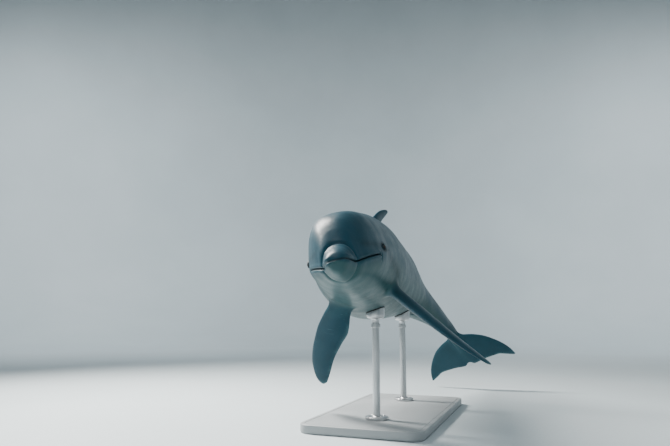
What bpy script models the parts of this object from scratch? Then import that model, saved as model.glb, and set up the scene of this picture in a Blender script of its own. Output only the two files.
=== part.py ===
"""Life-size bottlenose dolphin, diving and banking, held up by a plain display stand.

Metres, +Z up. The animal heads towards -Y; its left side is towards +X.
A point of the animal is first given in its own straight body: how far behind the beak tip,
how far to its left and how far up. The bent spine then carries that point into the pose.
"""
import bisect
import math

import bmesh
import bpy
from mathutils import Matrix, Vector

# ---- clearances and fineness ----
GAP = 0.0003              # clearance between neighbouring solids
HALF_GAP = GAP / 2
AROUND = 32               # facets round the body
FIN_FACETS = 8            # facets from the front edge of a fin to its back edge
SPINE_STEP = 0.01
SPINE_EXTRA = 0.25        # the spine runs on past the notch, for the tips of the flukes
# Up to this far behind the beak tip the rings stand this far apart.
RING_STEPS = ((0.02, 0.006), (0.20, 0.014), (0.50, 0.026), (9.0, 0.050))

# ---- the straight body ----
LENGTH = 2.50             # beak tip to the notch between the flukes
BEAK_END = 0.100          # foot of the melon
MOUTH_END = 0.272
HEAD_END = 0.470
NECK_END = 0.600
CHEST_END = 0.880
TRUNK_END = 1.120
BACK_END = 1.550
STOCK_MIDDLE = 1.900
STOCK_END = 2.240
CUTS = (HEAD_END, NECK_END, CHEST_END, TRUNK_END, BACK_END, STOCK_MIDDLE, STOCK_END, LENGTH)
JAW_LEAD = 0.007          # the lower jaw reaches this far in front of the upper one
JAW_LEAD_FADES = 0.100
HEAD_SQUARENESS = 0.46    # the top of the head is fuller than an ellipse
MELON_FROM = 0.100        # the fullness grows over the melon
MELON_OVER = 0.140
CHIN_SHARPNESS = 0.47     # and the throat is leaner
CHEEK_TAPER = 0.16        # above the widest line the cheeks draw in
HEAD_SHAPE_ENDS = 0.72    # all fade out from the neck to the chest
HEAD_SHAPE_FADES = 0.36
BODY_ROUNDNESS_TOP = 2.15
BODY_ROUNDNESS_BELOW = 2.20

# Behind the beak tip, top line, bottom line, half width, height of the widest line
# (along the mouth the widest line is the line of the lips).
BODY = [
    (0.000, -0.046, -0.064, 0.012, -0.055),    # beak tip
    (0.012, -0.031, -0.090, 0.030, -0.056),    # front of the lips
    (0.045, -0.014, -0.106, 0.043, -0.061),    # middle of the beak
    (0.085, 0.000, -0.117, 0.052, -0.066),     # crease at the foot of the melon
    (0.105, 0.021, -0.121, 0.060, -0.065),
    (0.130, 0.061, -0.125, 0.073, -0.061),     # front of the melon
    (0.170, 0.100, -0.132, 0.092, -0.055),
    (0.220, 0.125, -0.142, 0.112, -0.050),     # middle of the melon
    (0.290, 0.138, -0.156, 0.134, -0.044),     # corners of the mouth
    (0.380, 0.147, -0.170, 0.151, -0.033),     # behind the eyes
    (0.460, 0.155, -0.180, 0.162, -0.022),     # blowhole
    (0.600, 0.179, -0.196, 0.181, -0.014),     # neck
    (0.800, 0.204, -0.217, 0.205, -0.010),     # chest
    (1.050, 0.213, -0.224, 0.216, -0.005),     # thickest part
    (1.250, 0.207, -0.208, 0.205, -0.002),
    (1.500, 0.167, -0.166, 0.160, 0.000),      # behind the dorsal fin
    (1.750, 0.117, -0.117, 0.102, 0.000),      # tail stock
    (2.000, 0.084, -0.082, 0.064, 0.000),
    (2.200, 0.059, -0.056, 0.039, 0.000),
    (2.330, 0.038, -0.036, 0.031, 0.000),      # front of the flukes
    (2.430, 0.018, -0.018, 0.025, 0.000),
    (2.500, 0.004, -0.004, 0.018, 0.000),      # notch
]

# ---- the pose ----
EYES_BEHIND = 0.335       # the point between the eyes
EYES_UP = -0.020
EYES_AT = (-0.4765, -0.801, 0.681)
HEADING = -8.0            # degrees the head is turned towards its own right
RISE = -2.5               # degrees the beak points up
BANK = 17.5               # degrees the left side of the chest is raised
HEAD_TURN = 5.0           # degrees the head is turned back towards level
HEAD_TURN_FROM = 0.36
HEAD_TURN_OVER = 0.28
# Where the spine bends, how far it bends down and how far it swings to the left (degrees).
BENDS = [
    (0.40, 0.85, 6.4, 0.0),
    (0.85, 1.35, 6.8, 14.4),
    (1.35, 1.80, 15.2, 7.2),
    (1.80, 2.15, 9.2, 3.4),
    (2.15, 2.38, 27.2, -0.1),
]
TWIST = 8.3               # degrees of roll between neck and tail
TWIST_FROM = 0.50
TWIST_OVER = 1.50

# ---- dorsal fin: distances along the body, from the middle of its base ----
DORSAL_BEHIND = 1.362
DORSAL_FOOT = 0.185       # height its foot would have on a level back
DORSAL_SUNK = 0.014       # its foot follows the back, this far under the skin
DORSAL_FOOT_FADES = 0.25  # share of the fin's height over which it stops following the back
DORSAL_HEIGHT = 0.325
DORSAL_LEAN = 0.083       # the tip leans this far to the left
DORSAL_THICK = 0.050
DORSAL_TIP_THICK = 0.010
DORSAL_FRONT = [(0, -0.185), (0.25, -0.086), (0.5, 0.006), (0.75, 0.090), (0.9, 0.146), (1, 0.200)]
DORSAL_REAR = [(0, 0.190), (0.15, 0.146), (0.4, 0.132), (0.7, 0.163), (0.9, 0.206), (1, 0.226)]

# ---- flukes: distances behind the notch ----
FLUKE_SPAN = 0.299
FLUKE_LIFT = 4.0          # degrees the tips are raised above the body line
FLUKE_THICK = 0.035
FLUKE_TIP_THICK = 0.006
FLUKE_FRONT = [(0, -0.235), (0.17, -0.198), (0.38, -0.168), (0.57, -0.132), (0.72, -0.087),
               (0.86, -0.032), (0.95, 0.020), (1, 0.068)]
FLUKE_REAR = [(0, 0.0), (0.05, 0.028), (0.12, 0.036), (0.37, 0.029), (0.66, 0.032),
              (0.83, 0.054), (0.95, 0.072), (1, 0.078)]

# ---- flippers: distances behind the middle of the root ----
FLIPPER_LENGTH = 0.498
FLIPPER_SUNK = 0.020      # length of its root under the skin
FLIPPER_BEHIND = 0.660
FLIPPER_ROOT_DROP = 55.0  # degrees below the widest line of the chest
FLIPPER_THICK = 0.042
FLIPPER_TIP_THICK = 0.008
FLIPPER_FRONT = [(0, -0.048), (0.17, -0.070), (0.36, -0.085), (0.53, -0.087), (0.70, -0.081),
                 (0.84, -0.063), (0.95, -0.038), (1, -0.016)]
FLIPPER_REAR = [(0, 0.046), (0.12, 0.042), (0.22, 0.047), (0.31, 0.050), (0.47, 0.033),
                (0.69, 0.016), (0.85, 0.014), (0.95, 0.011), (1, 0.005)]
# degrees swept back, degrees lowered, degrees twisted about its own length
LEFT_FLIPPER = (-16.5, 54.9, 12.2)
RIGHT_FLIPPER = (53.6, 36.9, -77.4)

# ---- fin sections ----
EDGE_THICK = 0.0016       # the back edge of every fin is this thick
FIN_FULLNESS = 0.80
FIN_THINNING = 0.80       # how evenly a fin thins towards its tip
FIN_THICKEST = 0.70       # below one, the thickest line lies nearer the front edge
SPAN_ROWS = 10

# ---- eyes ----
EYE_RADIUS = 0.016
EYE_BULGE = 0.004         # how far the eyeball stands out of the cheek
EYE_COLUMNS = 14
EYE_ROWS = 8

# ---- display stand ----
BASE_LENGTH = 1.05
BASE_WIDTH = 0.52
BASE_THICK = 0.036
BASE_CORNER = 0.060
BASE_CHAMFER = 0.004
BASE_TURN = 21.0          # degrees the base is turned so that it lies along the body
CORNER_STEPS = 6
ROD_RADIUS = 0.016
FOOT_RADIUS = 0.050
FOOT_THICK = 0.012
CUP_RADIUS = 0.040
CUP_DEPTH = 0.030         # length of the cup below the skin
CUP_SINK = 0.050          # the cup is drawn this far into the body, then trimmed to its skin
ROD_FACETS = 24
ROD_CHAMFER = 0.002
ROD_FILLET = 0.006        # where the rod meets its foot
CUP_TAPER = 0.014         # length of the taper under the cup
CUP_LIP = 0.008           # height of the lip that widens it to its full radius
CUP_STEP = 0.006          # and how much it widens there
FRONT_ROD_BEHIND = 0.83
REAR_ROD_BEHIND = 1.46

COLOURS = {
    "back": ((0.013, 0.051, 0.073, 1.0), 0.40, 0.0),
    "belly": ((0.032, 0.080, 0.087, 1.0), 0.42, 0.0),
    "fin": ((0.012, 0.048, 0.069, 1.0), 0.40, 0.0),
    "eye": ((0.012, 0.010, 0.010, 1.0), 0.08, 0.0),
    "base": ((0.300, 0.320, 0.330, 1.0), 0.45, 0.0),
    "rod": ((0.560, 0.560, 0.570, 1.0), 0.28, 1.0),
}


def curve(points):
    """A smooth line through the points that never overshoots between two of them."""
    xs = [p[0] for p in points]
    ys = [p[1] for p in points]
    steps = [b - a for a, b in zip(xs, xs[1:])]
    rates = [(b - a) / h for a, b, h in zip(ys, ys[1:], steps)]
    slopes = [rates[0]]
    for i in range(1, len(rates)):
        if rates[i - 1] * rates[i] <= 0:
            slopes.append(0.0)
            continue
        before = 2 * steps[i] + steps[i - 1]
        after = steps[i] + 2 * steps[i - 1]
        slopes.append((before + after) / (before / rates[i - 1] + after / rates[i]))
    slopes.append(rates[-1])

    def value(x):
        i = min(max(bisect.bisect_right(xs, x) - 1, 0), len(steps) - 1)
        h = steps[i]
        t = min(max((x - xs[i]) / h, 0.0), 1.0)
        start = (1 + 2 * t) * (1 - t) ** 2 * ys[i] + t * (1 - t) ** 2 * h * slopes[i]
        end = t * t * (3 - 2 * t) * ys[i + 1] - t * t * (1 - t) * h * slopes[i + 1]
        return start + end

    return value


def smooth(t):
    t = min(max(t, 0.0), 1.0)
    return t * t * (3 - 2 * t)


top_line, bottom_line, half_width, widest_line = (
    curve([(row[0], row[column]) for row in BODY]) for column in range(1, 5))


# ---- the bent spine ----
def chest_axes():
    """Columns: left, up and forward of the chest, before any bend."""
    heading, rise, bank = (math.radians(a) for a in (HEADING, RISE, BANK))
    forward = Vector((math.sin(heading) * math.cos(rise), -math.cos(heading) * math.cos(rise),
                      math.sin(rise)))
    level_left = Vector((0, 0, 1)).cross(forward).normalized()
    level_up = forward.cross(level_left)
    left = level_left * math.cos(bank) + level_up * math.sin(bank)
    return Matrix((left, forward.cross(left), forward)).transposed()


def axes_at(s):
    down = sum(b[2] * smooth((s - b[0]) / (b[1] - b[0])) for b in BENDS)
    swing = sum(b[3] * smooth((s - b[0]) / (b[1] - b[0])) for b in BENDS)
    twist = TWIST * smooth((s - TWIST_FROM) / TWIST_OVER)
    level = HEAD_TURN * (1 - smooth((s - HEAD_TURN_FROM) / HEAD_TURN_OVER))
    return (chest_axes() @ Matrix.Rotation(math.radians(-level), 3, "Z")
            @ Matrix.Rotation(math.radians(-swing), 3, "Y")
            @ Matrix.Rotation(math.radians(-down), 3, "X")
            @ Matrix.Rotation(math.radians(twist), 3, "Z"))


def make_spine():
    count = round((LENGTH + SPINE_EXTRA) / SPINE_STEP) + 1
    axes = [axes_at(i * SPINE_STEP) for i in range(count)]
    points = [Vector((0, 0, 0))]
    for before, after in zip(axes, axes[1:]):
        points.append(points[-1] - (before.col[2] + after.col[2]) * (SPINE_STEP / 2))
    between_eyes = points[0] - axes[0].col[2] * EYES_BEHIND + axes[0].col[1] * EYES_UP
    shift = Vector(EYES_AT) - between_eyes
    return [p + shift for p in points], axes


SPINE, AXES = make_spine()


def place(s, left, up):
    """The posed place of a point of the straight body."""
    if s < 0:
        return SPINE[0] - AXES[0].col[2] * s + AXES[0].col[0] * left + AXES[0].col[1] * up
    i = min(int(s / SPINE_STEP), len(SPINE) - 2)
    t = s / SPINE_STEP - i
    middle = SPINE[i].lerp(SPINE[i + 1], t)
    side = AXES[i].col[0].lerp(AXES[i + 1].col[0], t)
    rise = AXES[i].col[1].lerp(AXES[i + 1].col[1], t)
    return middle + side * left + rise * up


def body_point(s, angle, grow=0.0):
    """(left, up) of the skin at an angle from the left side, counted upwards."""
    headness = smooth((HEAD_SHAPE_ENDS - s) / HEAD_SHAPE_FADES)
    across, above = math.cos(angle), math.sin(angle)
    middle = widest_line(s)
    wide = half_width(s) + grow
    if above > 0:
        melon = smooth((s - MELON_FROM) / MELON_OVER) * headness
        power = BODY_ROUNDNESS_TOP + HEAD_SQUARENESS * melon
        tall = top_line(s) - middle + grow
        wide *= 1 - CHEEK_TAPER * melon * above * abs(across) ** 3
    else:
        power = BODY_ROUNDNESS_BELOW - CHIN_SHARPNESS * headness
        tall = middle - bottom_line(s) + grow
    reach = (abs(across) ** power + abs(above) ** power) ** (-1 / power)
    return wide * across * reach, tall * above * reach + middle


# ---- building solids ----
def new_object(name, points, faces, colour, smooth_shading=True):
    mesh = bpy.data.meshes.new(name)
    form = bmesh.new()
    corners = [form.verts.new(p) for p in points]
    for face in faces:
        form.faces.new([corners[i] for i in face])
    bmesh.ops.recalc_face_normals(form, faces=form.faces)
    form.to_mesh(mesh)
    form.free()
    mesh.polygons.foreach_set("use_smooth", [smooth_shading] * len(mesh.polygons))
    thing = bpy.data.objects.new(name, mesh)
    bpy.context.scene.collection.objects.link(thing)
    base, rough, metallic = COLOURS[colour]
    material = bpy.data.materials.new(name)
    material.use_nodes = True
    shader = material.node_tree.nodes["Principled BSDF"]
    shader.inputs["Base Color"].default_value = base
    shader.inputs["Roughness"].default_value = rough
    shader.inputs["Metallic"].default_value = metallic
    mesh.materials.append(material)
    return thing


def skin_of(rings):
    """Points and faces of a closed solid through a row of rings of equal count."""
    count = len(rings[0])
    points = [p for ring in rings for p in ring]
    faces = []
    for row in range(len(rings) - 1):
        for i in range(count):
            j = (i + 1) % count
            near, far = row * count, (row + 1) * count
            faces.append((near + i, near + j, far + j))
            faces.append((near + i, far + j, far + i))
    faces.append(tuple(range(count)))
    faces.append(tuple(range((len(rings) - 1) * count, len(rings) * count)))
    return points, faces


def stations(start, end):
    """Where the rings of a length of body stand: close together on the head."""
    rows = [start]
    while rows[-1] < end:
        s = rows[-1]
        rows.append(s + next(step for limit, step in RING_STEPS if s < limit))
    stretch = (end - start) / (rows[-1] - start)
    return [start + (s - start) * stretch for s in rows]


def body_rings(start, end, half=None, grow=0.0, lead=0.0):
    """Rings of the body; half is +1 above the line of the lips, -1 below it."""
    rings = []
    for s in stations(start, end):
        if half is None:
            outline = [body_point(s, 2 * math.pi * i / AROUND, grow) for i in range(AROUND)]
        else:
            outline = [body_point(s, half * math.pi * i / (AROUND // 2), grow)
                       for i in range(AROUND // 2 + 1)]
            for end_of_row in (0, -1):
                left, up = outline[end_of_row]
                outline[end_of_row] = (left, up + half * HALF_GAP)
        forward = lead * max(0.0, 1 - s / JAW_LEAD_FADES)
        rings.append([place(s - forward, left, up) for left, up in outline])
    return rings


def piece_rings(start, end, **how):
    """Rings of one piece of the body, held half a gap back from its neighbours."""
    first = start if start == 0 else start + HALF_GAP
    last = end if end == LENGTH else end - HALF_GAP
    return body_rings(first, last, **how)


def body_piece(name, start, end, colour="back", **how):
    return new_object(name, *skin_of(piece_rings(start, end, **how)), colour)


def make_trim():
    """The body from the neck back, grown by the gap, to shape whatever touches it."""
    rings = []
    for start, end in zip(CUTS, CUTS[1:]):
        rings += piece_rings(start, end, grow=GAP)
    rings.append([point - AXES[-1].col[2] * GAP for point in rings[-1]])
    return new_object("trim_body", *skin_of(rings), "back")


def cut(thing, tool):
    """Takes the tool's room out of a solid."""
    tool.hide_render = True
    tool.display_type = "WIRE"
    step = thing.modifiers.new("cut", "BOOLEAN")
    step.operation = "DIFFERENCE"
    step.solver = "EXACT"
    step.object = tool


def fin_rings(front, rear, thick, tip_thick, carry):
    """Rings of a fin from root to tip; carry(back, out, side) places a point of it."""
    front_edge, rear_edge = curve(front), curve(rear)
    rings = []
    for row in range(SPAN_ROWS + 1):
        out = math.sin(math.pi / 2 * row / SPAN_ROWS)
        start, end = front_edge(out), rear_edge(out)
        full = (thick * (1 - out) ** FIN_THINNING + tip_thick) / 2
        upper, lower = [], []
        for i in range(FIN_FACETS + 1):
            q = (1 - math.cos(math.pi * i / FIN_FACETS)) / 2
            swell = max(math.sin(math.pi * q ** FIN_THICKEST), 0.0) ** FIN_FULLNESS
            side = full * swell + EDGE_THICK / 2 * q
            back = start + (end - start) * q
            upper.append(carry(back, out, side))
            if i > 0:
                lower.append(carry(back, out, -side))
        rings.append(upper + lower[::-1])
    return rings


def carry_dorsal(back, out, side):
    under_skin = top_line(DORSAL_BEHIND + back) - DORSAL_SUNK
    foot = under_skin + (DORSAL_FOOT - under_skin) * smooth(out / DORSAL_FOOT_FADES)
    return place(DORSAL_BEHIND + back, side + DORSAL_LEAN * out * out, foot + DORSAL_HEIGHT * out)


def carry_fluke(sign):
    lift = math.radians(FLUKE_LIFT)

    def carry(back, out, side):
        reach = FLUKE_SPAN * out
        return place(LENGTH + back, sign * (reach * math.cos(lift) + HALF_GAP),
                     side + reach * math.sin(lift))

    return carry


def carry_flipper(sign, turns):
    """Places a flipper on the chest, swept back, lowered and twisted."""
    sweep, lower, twist = (math.radians(a) for a in turns)
    out_way = Vector((math.cos(lower) * math.cos(sweep), -math.sin(lower),
                      -math.cos(lower) * math.sin(sweep)))
    back_way = Vector((0, 0, -1))
    back_way = (back_way - out_way * back_way.dot(out_way)).normalized()
    thick_way = out_way.cross(back_way)
    turned_back = back_way * math.cos(twist) + thick_way * math.sin(twist)
    turned_thick = out_way.cross(turned_back)
    axes = axes_at(FLIPPER_BEHIND)
    left, up = body_point(FLIPPER_BEHIND, -math.radians(FLIPPER_ROOT_DROP))
    root = place(FLIPPER_BEHIND, sign * left, up)

    def carry(back, out, side):
        local = (out_way * (FLIPPER_LENGTH * out - FLIPPER_SUNK) + turned_back * back
                 + turned_thick * side)
        return root + axes @ Vector((sign * local.x, local.y, local.z))

    return carry


def ball(name, centre, radius, colour):
    mesh_form = bmesh.new()
    bmesh.ops.create_uvsphere(mesh_form, u_segments=EYE_COLUMNS, v_segments=EYE_ROWS,
                              radius=radius)
    turn = AXES[0].to_4x4()
    turn.translation = centre
    bmesh.ops.transform(mesh_form, matrix=turn, verts=mesh_form.verts)
    points = [v.co.copy() for v in mesh_form.verts]
    faces = [tuple(v.index for v in f.verts) for f in mesh_form.faces]
    mesh_form.free()
    return new_object(name, points, faces, colour)


def lathe(name, profile, x, y, colour):
    """A round solid about an upright axis, from (radius, height) pairs."""
    rings = []
    for radius, height in profile:
        rings.append([Vector((x + radius * math.cos(2 * math.pi * i / ROD_FACETS),
                              y + radius * math.sin(2 * math.pi * i / ROD_FACETS), height))
                      for i in range(ROD_FACETS)])
    return new_object(name, *skin_of(rings), colour)


def stand_base(x, y):
    """A flat slab with round corners and a chamfered top edge, turned along the body."""
    turn = Matrix.Rotation(math.radians(-BASE_TURN), 3, "Z")
    rings = []
    for inset, height in ((0, 0), (0, BASE_THICK - BASE_CHAMFER), (BASE_CHAMFER, BASE_THICK)):
        ring = []
        for corner, (sx, sy) in enumerate(((1, 1), (-1, 1), (-1, -1), (1, -1))):
            for i in range(CORNER_STEPS + 1):
                a = math.pi / 2 * (corner + i / CORNER_STEPS)
                radius = BASE_CORNER - inset
                flat = Vector((sx * (BASE_WIDTH / 2 - BASE_CORNER) + radius * math.cos(a),
                               sy * (BASE_LENGTH / 2 - BASE_CORNER) + radius * math.sin(a),
                               height))
                ring.append(turn @ flat + Vector((x, y, 0)))
        rings.append(ring)
    return new_object("stand_base", *skin_of(rings), "base", smooth_shading=False)


def stand_rod(name, behind, trim):
    """An upright rod with a foot on the base and a cup shaped to the belly."""
    under = place(behind, 0, bottom_line(behind))
    low = BASE_THICK + GAP
    top = low + FOOT_THICK
    cup = under.z - CUP_DEPTH
    profile = [(FOOT_RADIUS - ROD_CHAMFER, low), (FOOT_RADIUS, low + ROD_CHAMFER),
               (FOOT_RADIUS, top - ROD_CHAMFER), (FOOT_RADIUS - ROD_CHAMFER, top),
               (ROD_RADIUS + ROD_FILLET, top), (ROD_RADIUS, top + ROD_FILLET),
               (ROD_RADIUS, cup - CUP_TAPER), (CUP_RADIUS - CUP_STEP, cup),
               (CUP_RADIUS, cup + CUP_LIP), (CUP_RADIUS, under.z + CUP_SINK)]
    rod = lathe(name, profile, under.x, under.y, "rod")
    cut(rod, trim)
    return under


def build():
    for thing in list(bpy.data.objects):
        bpy.data.objects.remove(thing, do_unlink=True)

    body_piece("beak_upper", 0.0, BEAK_END, "back", half=1)
    body_piece("lower_jaw", 0.0, MOUTH_END, "belly", half=-1, lead=JAW_LEAD)
    body_piece("melon", BEAK_END, MOUTH_END, "back", half=1)
    head = body_piece("head", MOUTH_END, HEAD_END)
    names = ("neck", "chest", "trunk", "back", "tail_stock_front", "tail_stock_rear",
             "fluke_root")
    for name, start, end in zip(names, CUTS, CUTS[1:]):
        body_piece(name, start, end)

    trim = make_trim()
    fins = [
        ("dorsal_fin", DORSAL_FRONT, DORSAL_REAR, DORSAL_THICK, DORSAL_TIP_THICK, carry_dorsal),
        ("fluke_left", FLUKE_FRONT, FLUKE_REAR, FLUKE_THICK, FLUKE_TIP_THICK, carry_fluke(1)),
        ("fluke_right", FLUKE_FRONT, FLUKE_REAR, FLUKE_THICK, FLUKE_TIP_THICK, carry_fluke(-1)),
        ("flipper_left", FLIPPER_FRONT, FLIPPER_REAR, FLIPPER_THICK, FLIPPER_TIP_THICK,
         carry_flipper(1, LEFT_FLIPPER)),
        ("flipper_right", FLIPPER_FRONT, FLIPPER_REAR, FLIPPER_THICK, FLIPPER_TIP_THICK,
         carry_flipper(-1, RIGHT_FLIPPER)),
    ]
    for name, front, rear, thick, tip_thick, carry in fins:
        rings = fin_rings(front, rear, thick, tip_thick, carry)
        cut(new_object(name, *skin_of(rings), "fin"), trim)

    for name, sign in (("eye_left", 1), ("eye_right", -1)):
        out = half_width(EYES_BEHIND) - EYE_RADIUS + EYE_BULGE
        centre = place(EYES_BEHIND, sign * out, EYES_UP)
        ball(name, centre, EYE_RADIUS, "eye")
        cut(head, ball("trim_" + name, centre, EYE_RADIUS + GAP, "eye"))

    front = stand_rod("stand_rod_front", FRONT_ROD_BEHIND, trim)
    rear = stand_rod("stand_rod_rear", REAR_ROD_BEHIND, trim)
    stand_base((front.x + rear.x) / 2, (front.y + rear.y) / 2)


build()
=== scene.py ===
"""The looks of a life-size bottlenose dolphin held on a display stand.

One skin stands for all the flesh. It is worked out in the animal's own straight body
(metres behind the beak tip, to the left, up) and then carried into the pose.
"""
import math

import bmesh
import bpy
import numpy as np
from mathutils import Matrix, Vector
from mathutils.bvhtree import BVHTree
from mathutils.kdtree import KDTree


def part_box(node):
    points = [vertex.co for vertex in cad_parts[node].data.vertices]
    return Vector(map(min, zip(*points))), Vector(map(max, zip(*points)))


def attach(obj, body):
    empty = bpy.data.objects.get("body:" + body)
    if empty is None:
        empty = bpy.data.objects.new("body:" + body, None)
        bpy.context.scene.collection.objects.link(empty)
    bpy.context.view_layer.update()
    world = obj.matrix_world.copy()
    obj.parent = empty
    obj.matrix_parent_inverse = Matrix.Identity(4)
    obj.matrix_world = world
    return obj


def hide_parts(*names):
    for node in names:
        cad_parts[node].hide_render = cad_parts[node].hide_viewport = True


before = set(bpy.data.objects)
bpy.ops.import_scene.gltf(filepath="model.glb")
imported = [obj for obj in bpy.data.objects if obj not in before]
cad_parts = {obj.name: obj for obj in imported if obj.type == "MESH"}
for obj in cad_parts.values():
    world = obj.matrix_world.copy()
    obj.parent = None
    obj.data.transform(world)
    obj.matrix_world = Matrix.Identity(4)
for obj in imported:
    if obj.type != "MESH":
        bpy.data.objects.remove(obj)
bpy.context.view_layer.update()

# ---- the straight body, as the solids have it ----
LENGTH = 2.50
MOUTH_END = 0.272
JAW_LEAD = 0.007
JAW_LEAD_FADES = 0.100
HEAD_SQUARENESS = 0.46
MELON_FROM = 0.100
MELON_OVER = 0.140
CHIN_SHARPNESS = 0.47
CHEEK_TAPER = 0.16
HEAD_SHAPE_ENDS = 0.72
HEAD_SHAPE_FADES = 0.36
BODY_ROUNDNESS_TOP = 2.15
BODY_ROUNDNESS_BELOW = 2.20
# Behind the beak tip, top line, bottom line, half width, height of the widest line.
BODY = [
    (0.000, -0.046, -0.064, 0.012, -0.055),    # beak tip
    (0.012, -0.031, -0.090, 0.030, -0.056),    # front of the lips
    (0.045, -0.014, -0.106, 0.043, -0.061),    # middle of the beak
    (0.085, 0.000, -0.117, 0.052, -0.066),     # crease at the foot of the melon
    (0.105, 0.021, -0.121, 0.060, -0.065),
    (0.130, 0.061, -0.125, 0.073, -0.061),     # front of the melon
    (0.170, 0.100, -0.132, 0.092, -0.055),
    (0.220, 0.125, -0.142, 0.112, -0.050),     # middle of the melon
    (0.290, 0.138, -0.156, 0.134, -0.044),     # just behind the mouth
    (0.380, 0.147, -0.170, 0.151, -0.033),     # behind the eyes
    (0.460, 0.155, -0.180, 0.162, -0.022),     # blowhole
    (0.600, 0.179, -0.196, 0.181, -0.014),     # neck
    (0.800, 0.204, -0.217, 0.205, -0.010),     # chest
    (1.050, 0.213, -0.224, 0.216, -0.005),     # thickest part
    (1.250, 0.207, -0.208, 0.205, -0.002),
    (1.500, 0.167, -0.166, 0.160, 0.000),      # behind the dorsal fin
    (1.750, 0.117, -0.117, 0.102, 0.000),      # tail stock
    (2.000, 0.084, -0.082, 0.064, 0.000),
    (2.200, 0.059, -0.056, 0.039, 0.000),
    (2.330, 0.038, -0.036, 0.031, 0.000),      # front of the flukes
    (2.430, 0.018, -0.018, 0.025, 0.000),
    (2.500, 0.004, -0.004, 0.018, 0.000),      # notch
]

# ---- the pose ----
EYES_BEHIND = 0.335
EYES_UP = -0.020
EYE_RADIUS = 0.016
EYE_BULGE = 0.004
HEADING = -8.0
RISE = -2.5
BANK = 17.5
HEAD_TURN = 5.0
HEAD_TURN_FROM = 0.36
HEAD_TURN_OVER = 0.28
# Where the spine bends, how far it bends down and how far it swings to the left (degrees).
BENDS = [
    (0.40, 0.85, 6.4, 0.0),
    (0.85, 1.35, 6.8, 14.4),
    (1.35, 1.80, 15.2, 7.2),
    (1.80, 2.15, 9.2, 3.4),
    (2.15, 2.38, 27.2, -0.1),
]
TWIST = 8.3
TWIST_FROM = 0.50
TWIST_OVER = 1.50
SPINE_STEP = 0.01
SPINE_EXTRA = 0.25

# ---- fins ----
DORSAL_BEHIND = 1.362
DORSAL_FOOT = 0.185
DORSAL_SUNK = 0.014
DORSAL_FOOT_FADES = 0.25
DORSAL_HEIGHT = 0.325
DORSAL_LEAN = 0.083
DORSAL_THICK = 0.050
DORSAL_TIP_THICK = 0.010
DORSAL_FRONT = [(0, -0.185), (0.25, -0.086), (0.5, 0.006), (0.75, 0.090), (0.9, 0.146), (1, 0.200)]
DORSAL_REAR = [(0, 0.190), (0.15, 0.146), (0.4, 0.132), (0.7, 0.163), (0.9, 0.206), (1, 0.226)]
FLUKE_SPAN = 0.299
FLUKE_LIFT = 4.0
FLUKE_THICK = 0.035
FLUKE_TIP_THICK = 0.006
FLUKE_FRONT = [(0, -0.235), (0.17, -0.198), (0.38, -0.168), (0.57, -0.132), (0.72, -0.087),
               (0.86, -0.032), (0.95, 0.020), (1, 0.068)]
FLUKE_REAR = [(0, 0.0), (0.05, 0.028), (0.12, 0.036), (0.37, 0.029), (0.66, 0.032),
              (0.83, 0.054), (0.95, 0.072), (1, 0.078)]
FLIPPER_LENGTH = 0.498
FLIPPER_SUNK = 0.020
FLIPPER_BEHIND = 0.660
FLIPPER_ROOT_DROP = 55.0
FLIPPER_THICK = 0.042
FLIPPER_TIP_THICK = 0.008
FLIPPER_FRONT = [(0, -0.048), (0.17, -0.070), (0.36, -0.085), (0.53, -0.087), (0.70, -0.081),
                 (0.84, -0.063), (0.95, -0.038), (1, -0.016)]
FLIPPER_REAR = [(0, 0.046), (0.12, 0.042), (0.22, 0.047), (0.31, 0.050), (0.47, 0.033),
                (0.69, 0.016), (0.85, 0.014), (0.95, 0.011), (1, 0.005)]
LEFT_FLIPPER = (-16.5, 54.9, 12.2)
RIGHT_FLIPPER = (53.6, 36.9, -77.4)
EDGE_THICK = 0.0016
FIN_FULLNESS = 0.80
FIN_THICKEST = 0.70
FIN_THINNING = 0.80
FIN_ROWS = 70
FIN_COLUMNS = 40
FIN_CAP = 0.035           # the last share of the span, which is rounded, and its rows
FIN_CAP_ROWS = 8
# How dark a fin is above, below and at its root.
DORSAL_TONES = (1.0, 1.0, 1.0)
FLUKE_TONES = (1.0, 0.74, 0.9)
FLIPPER_TONES = (0.95, 0.9, 0.55)

FLESH = ("beak_upper", "lower_jaw", "melon", "head", "neck", "chest", "trunk", "back",
         "tail_stock_front", "tail_stock_rear", "fluke_root", "dorsal_fin", "fluke_left",
         "fluke_right", "flipper_left", "flipper_right")


def curve(points):
    """A smooth line through the points that never overshoots between two of them."""
    xs, ys = np.array(points, float).T
    steps = np.diff(xs)
    rates = np.diff(ys) / steps
    before = 2 * steps[1:] + steps[:-1]
    after = steps[1:] + 2 * steps[:-1]
    same_way = rates[:-1] * rates[1:] > 0
    first = np.where(same_way, rates[:-1], 1)
    second = np.where(same_way, rates[1:], 1)
    middle = np.where(same_way, (before + after) / (before / first + after / second), 0)
    slopes = np.concatenate([rates[:1], middle, rates[-1:]])

    def value(x):
        x = np.asarray(x, float)
        i = np.clip(np.searchsorted(xs, x, side="right") - 1, 0, len(steps) - 1)
        h = steps[i]
        t = np.clip((x - xs[i]) / h, 0, 1)
        start = (1 + 2 * t) * (1 - t) ** 2 * ys[i] + t * (1 - t) ** 2 * h * slopes[i]
        end = t * t * (3 - 2 * t) * ys[i + 1] - t * t * (1 - t) * h * slopes[i + 1]
        return start + end

    return value


def smooth(t):
    t = np.clip(t, 0, 1)
    return t * t * (3 - 2 * t)


def ease(x, start, over):
    """Rises softly from 0 to 1 over a length."""
    return smooth((x - start) / over)


def bump(distance, width):
    """One at no distance, fading softly to nothing at about twice the width."""
    return np.exp(-(distance / width) ** 2)


top_line, bottom_line, half_width, widest_line = (
    curve([(row[0], row[column]) for row in BODY]) for column in range(1, 5))


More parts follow.
